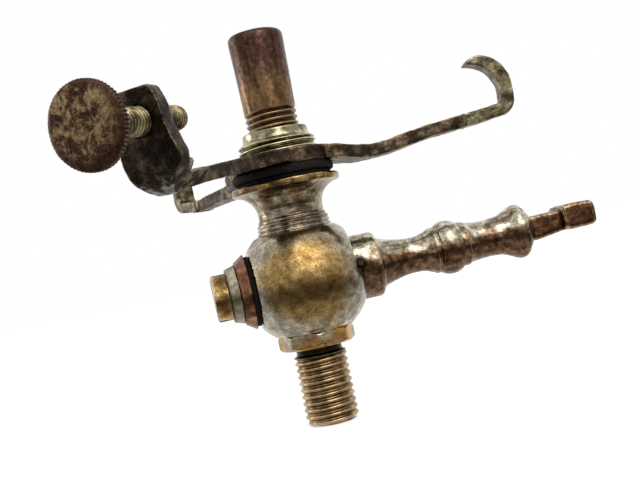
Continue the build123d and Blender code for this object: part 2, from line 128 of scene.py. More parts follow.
# ---- Mesh helpers ----
FILLET_STEPS = 4
FILLET_SHARE = 0.48
AXIS_R = 1e-6
SHORTEST_SQUARE = 0.01
MOST_BEND = 5
BEND_PASSES = 2
SOFTENING = 0.4


def smooth_step(value, low, high):
    """0 at low and 1 at high, whichever is the larger."""
    t = min(1.0, max(0.0, (value - low) / (high - low)))
    return t * t * (3 - 2 * t)


def wobble(point, scale, seed):
    """Smooth noise from -1 to 1 at a point, with features about 1/scale mm apart."""
    x, y, z = point
    place = Vector((x * scale + seed, y * scale - seed, z * scale + 2 * seed))
    return noise.noise(place, noise_basis="PERLIN_NEW")


def rounded(points, closed):
    """Profile points (r, z) or (r, z, fillet) as a line with its corners rounded."""
    result = []
    count = len(points)
    for i, point in enumerate(points):
        corner = Vector(point[:2])
        fillet = point[2] if len(point) > 2 else 0
        at_end = not closed and i in (0, count - 1)
        if not fillet or at_end:
            result.append(corner)
            continue
        before = Vector(points[i - 1][:2]) - corner
        after = Vector(points[(i + 1) % count][:2]) - corner
        cut = min(fillet, before.length * FILLET_SHARE, after.length * FILLET_SHARE)
        start, end = corner + before.normalized() * cut, corner + after.normalized() * cut
        for k in range(FILLET_STEPS + 1):
            t = k / FILLET_STEPS
            result.append((1 - t) ** 2 * start + 2 * t * (1 - t) * corner + t * t * end)
    return result


def divided(points, step, closed):
    """The same line with no run longer than a step."""
    result = []
    count = len(points)
    for i in range(count if closed else count - 1):
        a, b = points[i], points[(i + 1) % count]
        parts = max(1, math.ceil((b - a).length / step))
        result.extend(a.lerp(b, k / parts) for k in range(parts))
    if not closed:
        result.append(points[-1])
    return result


def turned(profile, segments, place, step=0.4, closed=False, shape=None, start=0.0):
    """A turned mesh: the profile goes round its local z, and shape moves each (r, z, angle)."""
    line = divided(rounded(profile, closed), step, closed)
    verts, faces, rings = [], [], []
    for r, z in line:
        if r < AXIS_R:
            rings.append([len(verts)])
            verts.append(place @ Vector((0, 0, z)))
            continue
        ring = []
        for k in range(segments):
            angle = start + 2 * math.pi * k / segments
            rr, zz = shape(r, z, angle) if shape else (r, z)
            ring.append(len(verts))
            verts.append(place @ Vector((rr * math.cos(angle), rr * math.sin(angle), zz)))
        rings.append(ring)
    pairs = list(zip(rings, rings[1:]))
    if closed:
        pairs.append((rings[-1], rings[0]))
    for low, high in pairs:
        for k in range(segments):
            n = (k + 1) % segments
            if len(low) == 1:
                faces.append((low[0], high[n], high[k]))
            elif len(high) == 1:
                faces.append((low[k], low[n], high[0]))
            else:
                faces.append((low[k], low[n], high[n], high[k]))
    mesh = bpy.data.meshes.new("turned")
    mesh.from_pydata([v * MM for v in verts], [], faces)
    mesh.validate()
    return mesh


def linked(mesh, name):
    obj = bpy.data.objects.new(name, mesh)
    bpy.context.scene.collection.objects.link(obj)
    return obj


def applied(obj):
    """Bakes an object's modifiers into its mesh."""
    depsgraph = bpy.context.evaluated_depsgraph_get()
    mesh = bpy.data.meshes.new_from_object(obj.evaluated_get(depsgraph))
    old = obj.data
    obj.modifiers.clear()
    obj.data = mesh
    bpy.data.meshes.remove(old)


def cut_with(obj, cutter, operation):
    modifier = obj.modifiers.new("cut", "BOOLEAN")
    modifier.operation = operation
    modifier.solver = "EXACT"
    modifier.object = cutter
    applied(obj)
    mesh = cutter.data
    bpy.data.objects.remove(cutter)
    bpy.data.meshes.remove(mesh)


def soften_skin(obj, voxel, passes):
    """Makes an object one skin with softened edges."""
    remesh = obj.modifiers.new("skin", "REMESH")
    remesh.mode = "VOXEL"
    remesh.voxel_size = voxel * MM
    soften = obj.modifiers.new("soften", "SMOOTH")
    soften.factor = 0.5
    soften.iterations = passes
    applied(obj)


def worn_copy(node, name, voxel, passes):
    """A CAD node's shape as one skin with softened edges."""
    obj = linked(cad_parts[node].data.copy(), name)
    soften_skin(obj, voxel, passes)
    return obj


def roughen(obj, layers):
    """Moves each vertex along its normal by layers of (amount in mm, scale per mm, seed)."""
    mesh = obj.data
    normals = [v.normal.copy() for v in mesh.vertices]
    for vertex, normal in zip(mesh.vertices, normals):
        point = vertex.co / MM
        push = sum(amount * wobble(point, scale, seed) for amount, scale, seed in layers)
        vertex.co += normal * (push * MM)


def mark_edges(obj):
    """Stores how sharply the surface turns outwards (per mm), which the materials use for edge wear, painted
    highlights on edges and painted shade in recesses.
    """
    mesh = obj.data
    count = len(mesh.vertices)
    points, normals = np.empty(count * 3), np.empty(count * 3)
    mesh.vertices.foreach_get("co", points)
    mesh.vertices.foreach_get("normal", normals)
    points, normals = points.reshape(-1, 3) / MM, normals.reshape(-1, 3)
    edges = np.empty(len(mesh.edges) * 2, dtype=int)
    mesh.edges.foreach_get("vertices", edges)
    a, b = edges.reshape(-1, 2).T
    run = points[b] - points[a]
    square = np.maximum((run * run).sum(axis=1), SHORTEST_SQUARE)
    ways = np.bincount(a, minlength=count) + np.bincount(b, minlength=count)
    ways = np.maximum(ways, 1)
    bend_a = -2 * (normals[a] * run).sum(axis=1) / square
    bend_b = 2 * (normals[b] * run).sum(axis=1) / square
    bend = (np.bincount(a, bend_a, count) + np.bincount(b, bend_b, count)) / ways
    for _ in range(BEND_PASSES):
        around = (np.bincount(a, bend[b], count) + np.bincount(b, bend[a], count)) / ways
        bend = (bend + around) / 2
    bend = np.clip(bend, -MOST_BEND, MOST_BEND)
    mesh.attributes.new("bend", "FLOAT", "POINT").data.foreach_set("value", bend.astype(np.float32))


def piece(obj, body, slot, material, *nodes, sharp=38):
    mark_edges(obj)
    obj.data.materials.clear()
    obj.data.materials.append(material)
    obj.data.shade_smooth()
    obj.data.set_sharp_from_angle(angle=math.radians(sharp))
    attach(obj, body)
    if nodes:
        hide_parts(*nodes)
    return obj


def box_between(low, high, place):
    """A plain block, used only to cut another mesh."""
    corners = [place @ Vector((x, y, z)) * MM for x in (low[0], high[0]) for y in (low[1], high[1])
               for z in (low[2], high[2])]
    faces = [(0, 1, 3, 2), (4, 6, 7, 5), (0, 4, 5, 1), (2, 3, 7, 6), (0, 2, 6, 4), (1, 5, 7, 3)]
    mesh = bpy.data.meshes.new("block")
    mesh.from_pydata(corners, [], faces)
    return linked(mesh, "block")


def thread_cut(angle, z, pitch, depth):
    """How deep a right-handed V thread is at an angle and height."""
    phase = (z / pitch - angle / (2 * math.pi)) % 1.0
    flank = abs(2 * phase - 1)
    return depth * smooth_step(flank, 0.08, 0.95)


# ---- Materials ----
def colour(text):
    """An sRGB hex colour as linear RGBA."""
    parts = [int(text[i:i + 2], 16) / 255 for i in (0, 2, 4)]
    linear = [p / 12.92 if p <= 0.04045 else ((p + 0.055) / 1.055) ** 2.4 for p in parts]
    return (*linear, 1.0)


class Surface:
    """A node material on object coordinates in millimetres, built up in layers."""

    def __init__(self, name, metallic=1.0):
        self.material = bpy.data.materials.new(name)
        self.material.use_nodes = True
        self.tree = self.material.node_tree
        self.shader = self.tree.nodes["Principled BSDF"]
        self.shader.inputs["Metallic"].default_value = metallic
        coordinates = self.add("ShaderNodeTexCoord")
        scale = self.add("ShaderNodeVectorMath")
        scale.operation = "SCALE"
        self.link(coordinates.outputs["Object"], scale.inputs[0])
        scale.inputs["Scale"].default_value = 1 / MM
        self.point = scale.outputs[0]
        self.geometry = self.add("ShaderNodeNewGeometry")
        self.normal = None

    def add(self, kind):
        return self.tree.nodes.new(kind)

    def link(self, a, b):
        self.tree.links.new(a, b)

    def noise(self, scale, detail=4.0, roughness=0.6, distortion=0.0, stretch=None, shift=0.0):
        vector = self.point
        if stretch or shift:
            mapping = self.add("ShaderNodeMapping")
            mapping.inputs["Scale"].default_value = stretch or (1, 1, 1)
            mapping.inputs["Location"].default_value = (shift, shift * 0.7, -shift)
            self.link(vector, mapping.inputs["Vector"])
            vector = mapping.outputs[0]
        node = self.add("ShaderNodeTexNoise")
        node.inputs["Scale"].default_value = scale
        node.inputs["Detail"].default_value = detail
        node.inputs["Roughness"].default_value = roughness
        node.inputs["Distortion"].default_value = distortion
        self.link(vector, node.inputs["Vector"])
        return node.outputs["Fac"]

    def pits(self, scale):
        node = self.add("ShaderNodeTexVoronoi")
        node.inputs["Scale"].default_value = scale
        self.link(self.point, node.inputs["Vector"])
        return node.outputs["Distance"]

    def mask(self, socket, low, high):
        node = self.add("ShaderNodeMapRange")
        node.interpolation_type = "SMOOTHSTEP"
        node.inputs["From Min"].default_value = low
        node.inputs["From Max"].default_value = high
        self.link(socket, node.inputs["Value"])
        return node.outputs["Result"]

    def math(self, operation, a, b):
        node = self.add("ShaderNodeMath")
        node.operation = operation
        node.use_clamp = True
        for value, entry in ((a, node.inputs[0]), (b, node.inputs[1])):
            if isinstance(value, (int, float)):
                entry.default_value = value
            else:
                self.link(value, entry)
        return node.outputs[0]

    def near(self, centre, low, high, stretch=(1, 1, 1)):
        """1 within low mm of a point and 0 beyond high mm, or the other way round if low is the larger."""
        mapping = self.add("ShaderNodeMapping")
        mapping.inputs["Location"].default_value = [-c * s for c, s in zip(centre, stretch)]
        mapping.inputs["Scale"].default_value = stretch
        self.link(self.point, mapping.inputs["Vector"])
        length = self.add("ShaderNodeVectorMath")
        length.operation = "LENGTH"
        self.link(mapping.outputs[0], length.inputs[0])
        return self.mask(length.outputs["Value"], high, low)

    def along(self, direction, low, high):
        """0 to 1 between two distances (mm) along a direction."""
        node = self.add("ShaderNodeVectorMath")
        node.operation = "DOT_PRODUCT"
        self.link(self.point, node.inputs[0])
        node.inputs[1].default_value = direction
        return self.mask(node.outputs["Value"], low, high)

    def facing(self, direction, low, high):
        """0 to 1 as the surface turns towards a direction of the object's own frame."""
        turn = self.add("ShaderNodeVectorTransform")
        turn.vector_type = "NORMAL"
        turn.convert_from = "WORLD"
        turn.convert_to = "OBJECT"
        self.link(self.geometry.outputs["Normal"], turn.inputs[0])
        node = self.add("ShaderNodeVectorMath")
        node.operation = "DOT_PRODUCT"
        self.link(turn.outputs[0], node.inputs[0])
        node.inputs[1].default_value = direction
        return self.mask(node.outputs["Value"], low, high)

    def edges(self, low, high):
        """0 to 1 between two bends per mm: positive is an edge, negative a recess."""
        node = self.add("ShaderNodeAttribute")
        node.attribute_name = "bend"
        return self.mask(node.outputs["Fac"], low, high)

    def ramp(self, socket, stops):
        node = self.add("ShaderNodeValToRGB")
        elements = node.color_ramp.elements
        while len(elements) < len(stops):
            elements.new(0.5)
        for element, (position, text) in zip(elements, stops):
            element.position = position
            element.color = colour(text)
        self.link(socket, node.inputs[0])
        return node.outputs[0]

    def layer(self, under, over, mask):
        """A colour, as hex or a socket, laid over another socket's colour where the mask is 1."""
        node = self.add("ShaderNodeMix")
        node.data_type = "RGBA"
        self.link(mask, node.inputs["Factor"])
        self.link(under, node.inputs[6])
        if isinstance(over, str):
            node.inputs[7].default_value = colour(over)
        else:
            self.link(over, node.inputs[7])
        return node.outputs[2]

    def bump(self, height, strength, distance):
        node = self.add("ShaderNodeBump")
        node.inputs["Strength"].default_value = strength
        node.inputs["Distance"].default_value = distance * MM
        self.link(height, node.inputs["Height"])
        if self.normal:
            self.link(self.normal, node.inputs["Normal"])
        self.normal = node.outputs[0]

    def finish(self, base, rough_from, rough_low, rough_high):
        """Joins colour, roughness (from one value to another as rough_from rises) and bumps to the shader."""
        self.link(base, self.shader.inputs["Base Color"])
        node = self.add("ShaderNodeMapRange")
        node.inputs["From Min"].default_value = 0.3
        node.inputs["From Max"].default_value = 0.7
        node.inputs["To Min"].default_value = rough_low
        node.inputs["To Max"].default_value = rough_high
        self.link(rough_from, node.inputs["Value"])
        self.link(node.outputs["Result"], self.shader.inputs["Roughness"])
        self.link(self.normal, self.shader.inputs["Normal"])
        return self.material


def worn_plate(name):
    """The tap's body: pitted nickel plate, worn through to brass where it is handled, with a painted dark
    reflection band across the globe's front, painted shade in its recesses, its relief groove, round the stop
    pin and under the flange, and painted highlights on its crests and edges.
    """
    s = Surface(name)
    broad = s.noise(0.16, 4, 0.6, 0.4)
    cloud = s.noise(0.6, 5, 0.62, 0.1, shift=6.0)
    fine = s.noise(3.2, 5, 0.65)
    speck = s.noise(5.5, 3, 0.7, 0, shift=4.0)
    smear = s.noise(0.3, 4, 0.6, 0.3, stretch=(0.6, 0.6, 1.8), shift=8.0)
    nickel = s.ramp(cloud, [(0.34, "7E7563"), (0.5, "A69F8E"), (0.66, "D3CEC1")])
    brass = s.ramp(cloud, [(0.34, "7F6238"), (0.5, "B08F58"), (0.68, "D2B680")])
    front_wear = s.near(FRONT_WEAR, 5.5, 11.0)
    back_wear = s.math("MULTIPLY", s.near((2.0, 12.0, KEY_Z), 1.0, 11.5), s.mask(cloud, 0.35, 0.6))
    handled = s.math("ADD", front_wear, back_wear)
    patches = s.mask(broad, 0.52, 0.62)
    neck_worn = s.math("MULTIPLY", s.along(UP, KEY_Z + 9.0, KEY_Z + 16.5), 0.35)
    worn = s.math("ADD", handled, s.math("MULTIPLY", patches, 0.45))
    worn = s.math("ADD", worn, neck_worn)
    worn = s.math("ADD", worn, s.along(UP, KEY_Z + 16.8, KEY_Z + 17.4))
    base = s.layer(nickel, brass, worn)
    rim = s.near(FRONT_WEAR, 12.0, 8.0)
    rim = s.math("MULTIPLY", s.math("MULTIPLY", handled, rim), 0.8)
    base = s.layer(base, "5A3F2E", s.math("MULTIPLY", rim, s.mask(broad, 0.58, 0.44)))
    on_neck = s.math("MULTIPLY", s.along(UP, KEY_Z + 8.5, KEY_Z + 11.5), 0.75)
    base = s.layer(base, "573E2D", s.math("MULTIPLY", s.mask(smear, 0.47, 0.58), on_neck))
    base = s.layer(base, "3E2D1B", s.math("MULTIPLY", s.mask(fine, 0.5, 0.38), 0.55))
    # Painted shade: mottled dark brown on the flare just under the flange.
    flange_shade = s.math("MULTIPLY", s.along(UP, KEY_Z + 14.6, KEY_Z + 16.4), 0.55)
    base = s.layer(base, "4B3524", s.math("MULTIPLY", flange_shade, s.mask(cloud, 0.62, 0.42)))
    base = s.layer(base, "241A11", s.math("MULTIPLY", s.mask(speck, 0.42, 0.33), 0.75))
    # Painted reflection: a wide dark brown band across the globe's front, just below the key's axis.
    band = s.near((-1.0, -12.0, KEY_Z - 2.2), 0.8, 3.6, (0.3, 0.4, 1.0))
    base = s.layer(base, "3F2E1D", s.math("MULTIPLY", band, 0.6))
    collar = s.along(DOWN, -4.8, -4.3)
    stain = s.ramp(cloud, [(0.34, "857A60"), (0.5, "B3A888"), (0.66, "D9D0B2")])
    stain = s.layer(stain, "BF9149", s.mask(s.noise(0.22, 3, 0.5, shift=17.0), 0.44, 0.56))
    tint = s.mask(s.noise(0.3, 3, 0.5, shift=27.0), 0.52, 0.64)
    stain = s.layer(stain, "91676A", s.math("MULTIPLY", tint, 0.7))
    base = s.layer(base, stain, s.math("MULTIPLY", collar, 0.9))
    tail = s.along(DOWN, -1.6, -1.2)
    base = s.layer(base, s.ramp(cloud, [(0.34, "6E5438"), (0.5, "A08258"), (0.66, "BFA27A")]), tail)
    # Painted shade: near-black round the relief groove under the spanner collar.
    base = s.layer(base, "2A2118", s.near((0, 0, 0.6), 6.2, 7.4, (1, 1, 5.0)))
    spigot = s.ramp(cloud, [(0.34, "554C35"), (0.5, "9A9171"), (0.68, "CFC8AC")])
    base = s.layer(base, spigot, s.along(UP, KEY_Z + 18.9, KEY_Z + 19.3))
    # Painted shade in recesses and thread valleys, lighter on the tail.
    valley_shade = s.math("SUBTRACT", 0.75, s.math("MULTIPLY", tail, 0.35))
    base = s.layer(base, "2A1E14", s.math("MULTIPLY", s.edges(-0.3, -1.4), valley_shade))
    # Painted highlight: pale cream on thread crests and other convex edges, weaker on the tail.
    crest_highlight = s.math("MULTIPLY", s.edges(0.5, 1.8), s.math("SUBTRACT", 0.6, s.math("MULTIPLY", tail, 0.3)))
    base = s.layer(base, "DCCDA6", crest_highlight)
    # Painted shade: near-black in the recess round the stop pin.
    base = s.layer(base, "1A120C", s.near(PIN_MOUTH, 1.0, 2.2))
    s.bump(fine, 0.09, 0.05)
    s.bump(s.mask(s.pits(1.1), 0.0, 0.3), 0.12, 0.05)
    return s.finish(base, handled, 0.2, 0.34)


def key_plate(name):
    """The lever: nickel plate with brown patina in patches, behind and on its square end, and painted brown
    shade on faces turned down and towards the front.
    """
    s = Surface(name)
    broad = s.noise(0.22, 5, 0.62, 0.6)
    cloud = s.noise(0.7, 5, 0.62, 0.1, shift=3.0)
    fine = s.noise(2.6, 5, 0.68)
    speck = s.noise(4.6, 3, 0.7, 0, shift=2.0)
    nickel = s.ramp(cloud, [(0.35, "756A52"), (0.48, "B3AA90"), (0.62, "EAE4D3")])
    patina = s.ramp(cloud, [(0.34, "3B2519"), (0.5, "6B4A36"), (0.66, "9A7350")])
    patchy = s.math("MULTIPLY", s.mask(broad, 0.5, 0.62), 0.55)
    # The term for faces turned down and towards the front is painted shade, not patina.
    worn = s.math("ADD", patchy, s.math("MULTIPLY", s.facing((0, -0.45, -1), -0.05, 0.5), 0.9))
    worn = s.math("ADD", worn, s.math("MULTIPLY", s.facing((0, 1, -0.3), -0.1, 0.6), 0.7))
    worn = s.math("ADD", worn, s.along((1, 0, 0), 44.0, 45.5))
    base = s.layer(nickel, patina, worn)
    base = s.layer(base, "3A2B1D", s.math("MULTIPLY", s.mask(fine, 0.48, 0.36), 0.5))
    base = s.layer(base, "241911", s.math("MULTIPLY", s.mask(speck, 0.41, 0.32), 0.75))
    # Painted shade in recesses.
    base = s.layer(base, "1B130D", s.math("MULTIPLY", s.edges(-0.3, -1.2), 0.8))
    # Painted highlight along convex edges.
    base = s.layer(base, "D8C494", s.math("MULTIPLY", s.edges(0.35, 1.2), 0.7))
    # Painted shade: near-black in the recess round the stop pin.
    base = s.layer(base, "1A120C", s.near(PIN_MOUTH, 0.9, 1.9))
    s.bump(fine, 0.12, 0.06)
    s.bump(cloud, 0.2, 0.12)
    return s.finish(base, cloud, 0.34, 0.16)


def patina_brass(name, dark, mid, light, edge, speck_colour, rough, bump, shift=0.0, sheen_below=None):
    """Brass under an uneven patina, bare on its edges, with painted shade in its recesses and, if given, a
    painted sheen on faces turned down.
    """
    s = Surface(name)
    broad = s.noise(0.25, 5, 0.65, shift=shift)
    cloud = s.noise(0.55, 6, 0.66, shift=shift + 1.0)
    fine = s.noise(2.6, 5, 0.68, shift=shift)
    speck = s.noise(3.4, 3, 0.7, 0, shift=shift + 3.0)
    base = s.ramp(cloud, [(0.32, dark), (0.5, mid), (0.68, light)])
    base = s.layer(base, dark, s.math("MULTIPLY", s.mask(broad, 0.55, 0.42), 0.7))
    base = s.layer(base, speck_colour, s.math("MULTIPLY", s.mask(speck, 0.60, 0.70), 0.6))
    # Painted sheen: the given colour on faces turned down, in mottled patches.
    if sheen_below:
        under = s.math("MULTIPLY", s.facing(DOWN, 0.2, 0.8), s.mask(cloud, 0.46, 0.64))
        base = s.layer(base, sheen_below, under)
    # Painted shade in recesses.
    base = s.layer(base, "14100C", s.math("MULTIPLY", s.edges(-0.3, -1.4), 0.75))
    broken = s.math("MULTIPLY", s.edges(0.5, 1.8), s.mask(broad, 0.42, 0.6))
    base = s.layer(base, edge, s.math("MULTIPLY", broken, s.mask(cloud, 0.3, 0.56)))
    s.bump(fine, bump * 0.5, 0.07)
    s.bump(cloud, bump, 0.2)
    return s.finish(base, cloud, *rough)


def knob_patina(name):
    """The thumbscrew's head: purple-brown, with mottled tan wear over most of its face."""
    s = Surface(name)
    cloud = s.noise(0.5, 8, 0.8, 0.45, shift=9.0)
    fine = s.noise(2.2, 6, 0.72, 0.4, shift=2.0)
    base = s.ramp(fine, [(0.32, "281A14"), (0.5, "4B342A"), (0.7, "6E5445")])
    face = s.near(SCREW_FRAME @ Vector((0.6, 0.4, 14.0)), 4.2, 6.3)
    worn = s.math("MULTIPLY", s.mask(cloud, 0.47, 0.56), face)
    base = s.layer(base, s.ramp(fine, [(0.3, "665035"), (0.5, "9C8460"), (0.7, "CBB78E")]), worn)
    base = s.layer(base, "1C130F", s.math("MULTIPLY", s.mask(cloud, 0.44, 0.36), 0.6))
    # Painted shade between the knurls and in other recesses.
    base = s.layer(base, "120D0A", s.math("MULTIPLY", s.edges(-0.5, -2.0), 0.8))
    base = s.layer(base, "A99B7C", s.math("MULTIPLY", s.edges(1.2, 3.0), 0.7))
    s.bump(fine, 0.2, 0.08)
    s.bump(cloud, 0.35, 0.2)
    return s.finish(base, cloud, 0.42, 0.3)


def tube_material(name):
    """The burner tube: purple-brown at its hot end, bronze lower down."""
    s = Surface(name)
    fine = s.noise(1.2, 6, 0.7)
    streak = s.noise(0.9, 4, 0.6, 0, stretch=(1, 1, 0.25))
    cool = s.ramp(fine, [(0.3, "543F2A"), (0.5, "86694A"), (0.72, "A78A64")])
    hot = s.ramp(fine, [(0.3, "33221C"), (0.5, "573F35"), (0.72, "7C6053")])
    base = s.layer(cool, hot, s.along(UP, KEY_Z + 33.0, KEY_Z + 42.5))
    base = s.layer(base, "30211A", s.math("MULTIPLY", s.mask(streak, 0.55, 0.42), 0.5))
    # Painted shade in thread valleys and other recesses.
    base = s.layer(base, "1D1510", s.math("MULTIPLY", s.edges(-0.3, -1.6), 0.75))
    base = s.layer(base, "B8997A", s.math("MULTIPLY", s.edges(0.4, 1.6), 0.55))
    s.bump(fine, 0.18, 0.08)
    return s.finish(base, fine, 0.42, 0.26)


def plain_finish(name, dark, light, rough, metallic=0.0, bump=0.3, specular=0.5):
    s = Surface(name, metallic)
    s.shader.inputs["Specular IOR Level"].default_value = specular
    fine = s.noise(1.8, 5, 0.7)
    base = s.ramp(fine, [(0.35, dark), (0.65, light)])
    s.bump(fine, bump, 0.1)
    return s.finish(base, fine, rough, rough - 0.12)


WORN_PLATE = worn_plate("worn_nickel_brass")
KEY_PLATE = key_plate("key_nickel")
SCREW_GOLD = patina_brass(
    "screw_brass", "5A4028", "A5834F", "D6B87C", "F4EDD8", "2A1D10", (0.36, 0.22), 0.15, 1.0)
TUBE = tube_material("tube_brass")
GALLERY = patina_brass(
    "gallery_brown", "241C15", "55473A", "8A7860", "B2986A", "6E6048", (0.55, 0.34), 0.35)
# The ear's last colour is a painted grey sheen on its faces turned down.
EAR = patina_brass(
    "ear_brown", "1B1612", "3D332B", "6A5D50", "A48E68", "757467", (0.5, 0.3), 0.4, 7.0, "8A857C")
HOOK = patina_brass("hook_olive", "3A3224", "7C7158", "B1A68A", "C4B88E", "2F261B", (0.5, 0.32), 0.3, 5.0)
BRAZE = patina_brass("braze", "3B3A2C", "77765B", "A6A283", "C2B98F", "2A2117", (0.5, 0.32), 0.3, 19.0)
KNOB = knob_patina("knob_patina")
SHANK = patina_brass("shank_brass", "3B3020", "75684C", "A19272", "C6B68C", "2A2014", (0.5, 0.3), 0.2, 11.0)
COPPER = patina_brass(
    "washer_copper", "4A2E22", "8E6248", "C59A76", "DDB994", "2E1A12", (0.38, 0.24), 0.15, 13.0)
PALE = patina_brass(
    "washer_pale", "7A6E57", "B5AA92", "E4DCC9", "F0EADB", "4A3D2B", (0.36, 0.22), 0.15, 15.0)
LEATHER = plain_finish("leather_black", "060505", "1A130E", 0.85, bump=0.6, specular=0.2)
STEATITE = plain_finish("steatite", "8C8170", "C9BDA6", 0.6)
PIN = plain_finish("pin_steel", "1E1B17", "453F36", 0.62, metallic=1.0, bump=0.2)

for node, material in (("slit_tip", STEATITE), ("flow_check", STEATITE), ("stop_pin", PIN)):
    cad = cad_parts[node]
    cad.data.materials.clear()
    cad.data.materials.append(material)

# ---- Tap body ----
TAIL_END = -12.9
TAIL_PITCH = 1.25
TAIL_DEPTH = 0.46
TAIL_WEAR = 0.03
SPIGOT_PITCH = 1.13
SPIGOT_DEPTH = 0.5
OCTAGON = 13.5 / 2
BAND_LOW = 9.36
NECK_R = 6.1
NECK_ARC = 4.2
SPIGOT_R = 7.34
SOCKET_R = 4.92


def body_shape(r, z, angle):
    """Threads on the tail and the spigot, and eight flats on the collar."""
    if r < 2.6:
        return r, z
    if z < -0.1:
        fade = smooth_step(z, TAIL_END, -12.2) * (1 - smooth_step(z, -0.5, -0.1))
        cut = thread_cut(angle, z, TAIL_PITCH, TAIL_DEPTH * fade)
        worn = TAIL_WEAR * (1 + wobble((r * math.cos(angle), r * math.sin(angle), z), 0.9, 3))
        return r - cut - worn, z
    if 1.5 <= z <= 4.4 and r > 5.0:
        offset = (angle - math.radians(REST_TURN)) % (math.pi / 4) - math.pi / 8
        return min(r, OCTAGON / math.cos(offset)), z
    high = z - KEY_Z
    if 18.8 < high < 26.2 and r > 7.0:
        fade = smooth_step(high, 23.2, 23.8) * (1 - smooth_step(high, 25.6, 26.1))
        return r - thread_cut(angle, high, SPIGOT_PITCH, SPIGOT_DEPTH * fade), z
    return r, z


def from_key(points):
    """Profile points whose heights are measured from the key's axis."""
    return [(r, KEY_Z + z, *fillet) for r, z, *fillet in points]


def globe_profile(low, high, parts):
    """Points up the globe's side between two heights from its centre."""
    for k in range(parts + 1):
        z = low + (high - low) * k / parts
        yield math.sqrt(GLOBE_R**2 - z * z), z


globe_foot = math.sqrt(GLOBE_R**2 - BAND_LOW**2)
neck_angles = [math.radians(a) for a in range(0, 81, 8)]
neck = [(NECK_R + NECK_ARC * (1 - math.cos(a)), 13.1 + NECK_ARC * math.sin(a)) for a in neck_angles]
body_line = [
    # Mouth of the bore and tail
    (0, -12.4), (2.4, -12.4, 0.1), (2.4, TAIL_END), (4.2, TAIL_END, 0.2), (5.0, -12.1, 0.2),
    (5.0, -0.05, 0.2),
    # Relief groove and spanner collar
    (4.3, 0.3, 0.2), (4.3, 1.45, 0.15), (6.55, 1.45, 0.15), (7.2, 2.0, 0.25), (7.2, 3.95, 0.25),
    (6.7, 4.4, 0.3), (globe_foot - 0.1, 4.4, 0.1),
    *from_key([
        *globe_profile(-BAND_LOW, BAND_LOW - 0.3, 60),
        # Bead band
        (6.95, 9.4, 0.15), (6.95, 9.75, 0.1), (6.6, 9.9, 0.1), (6.6, 10.05, 0.1), (6.8, 10.15, 0.1),
        (6.8, 10.5, 0.1), (6.55, 10.62, 0.1), (6.55, 10.75, 0.1), (6.72, 10.85, 0.1), (6.72, 11.2, 0.1),
        (6.4, 11.35, 0.15), (6.35, 11.9, 0.2), (NECK_R, 12.1, 0.2),
        *neck,
        # Flange
        (10.0, 17.3, 0.2), (10.2, 17.55, 0.25), (10.2, 18.35, 0.25), (9.95, 18.58, 0.25),
        # Spigot, its rim and the socket for the tube
        (SPIGOT_R, 18.6, 0.1), (SPIGOT_R, 25.9, 0.2), (6.9, 26.3, 0.15), (6.3, 26.55, 0.15),
        (6.15, 27.1, 0.15), (6.1, 28.1, 0.2), (5.9, 28.28, 0.15), (SOCKET_R, 28.28), (SOCKET_R, 22.0),
        (0, 22.0),
    ]),
]
tap_body = linked(
    turned(body_line, 144, BURNER_FRAME, 0.11, shape=body_shape, start=math.radians(REST_TURN)),
    "tap_casting",
)
# The globe is cut flat at the key's small end. At the other end its lower half keeps a lip.
for low, high in (
    ((-15, -9.2, -20), (15, 9.2, -GLOBE_CUT)),
    ((-15, 0, SEAT_MOUTH), (15, 9, 20)),
    ((-15, -9, LIP_END), (15, 0.01, 20)),
):
    cut_with(tap_body, box_between(low, high, KEY_FRAME), "DIFFERENCE")
seat_line = [(0, -10.5), (4.2, -10.5), (5.4, SEAT_MOUTH), (6.3, SEAT_MOUTH), (6.3, 12.0), (0, 12.0)]
key_way = linked(turned(seat_line, 96, KEY_FRAME, 1.0), "key_way")
cut_with(tap_body, key_way, "DIFFERENCE")
roughen(tap_body, [(0.04, 0.35, 1.0), (0.015, 1.3, 2.0)])
piece(tap_body, "tap", "worn_nickel_brass", WORN_PLATE, "tap_body")

# ---- Key and lever ----
key_line = [
    # Plug and collar
    (0, -12.3), (3.3, -12.3), (3.3, -9.7), (3.95, -9.4), (5.1, 8.6), (5.1, 8.98), (6.05, 8.98, 0.3),
    (6.1, 9.4, 0.2), (6.1, 13.6, 0.3), (5.85, 14.0, 0.3), (5.0, 14.3, 0.5), (4.5, 15.1, 0.5),
    # First hollow
    (3.95, 16.8, 2.0), (3.45, 19.2, 2.0), (3.3, 21.2, 2.0), (3.45, 22.9, 2.0), (4.1, 24.6, 1.0),
    (4.4, 25.1, 0.2), (4.42, 25.6, 0.12), (4.2, 25.8, 0.06),
    # Middle bead
    (4.5, 26.05, 0.3), (4.95, 26.9, 1.0), (5.23, 28.1, 1.0), (4.95, 29.3, 1.0), (4.5, 30.15, 0.3),
    (4.12, 30.32, 0.1), (4.22, 30.6, 0.2), (4.22, 31.5, 0.2), (3.8, 32.2, 0.4),
    # Second hollow and end bead
    (3.6, 33.6, 2.0), (3.48, 36.3, 2.0), (3.75, 38.6, 2.0), (4.45, 40.3, 1.5), (4.95, 41.2, 0.6),
    (5.2, 42.1, 0.6), (5.05, 42.9, 0.5), (4.6, 43.4, 0.5), (3.8, 43.9, 0.5), (3.0, 44.6, 0.5),
    (2.0, 45.0), (0, 45.2),
]


def key_shape(r, z, angle):
    worn = 1 + 0.008 * wobble((math.cos(angle), math.sin(angle), z * 0.1), 1.6, 5) if z > 9 else 1
    return r * worn, z


key_turned = linked(turned(key_line, 112, KEY_FRAME, 0.25, shape=key_shape), "lever_turned")
roughen(key_turned, [(0.05, 0.5, 4.0), (0.03, 1.6, 6.0)])
piece(key_turned, "key", "key_nickel", KEY_PLATE, "tap_key")


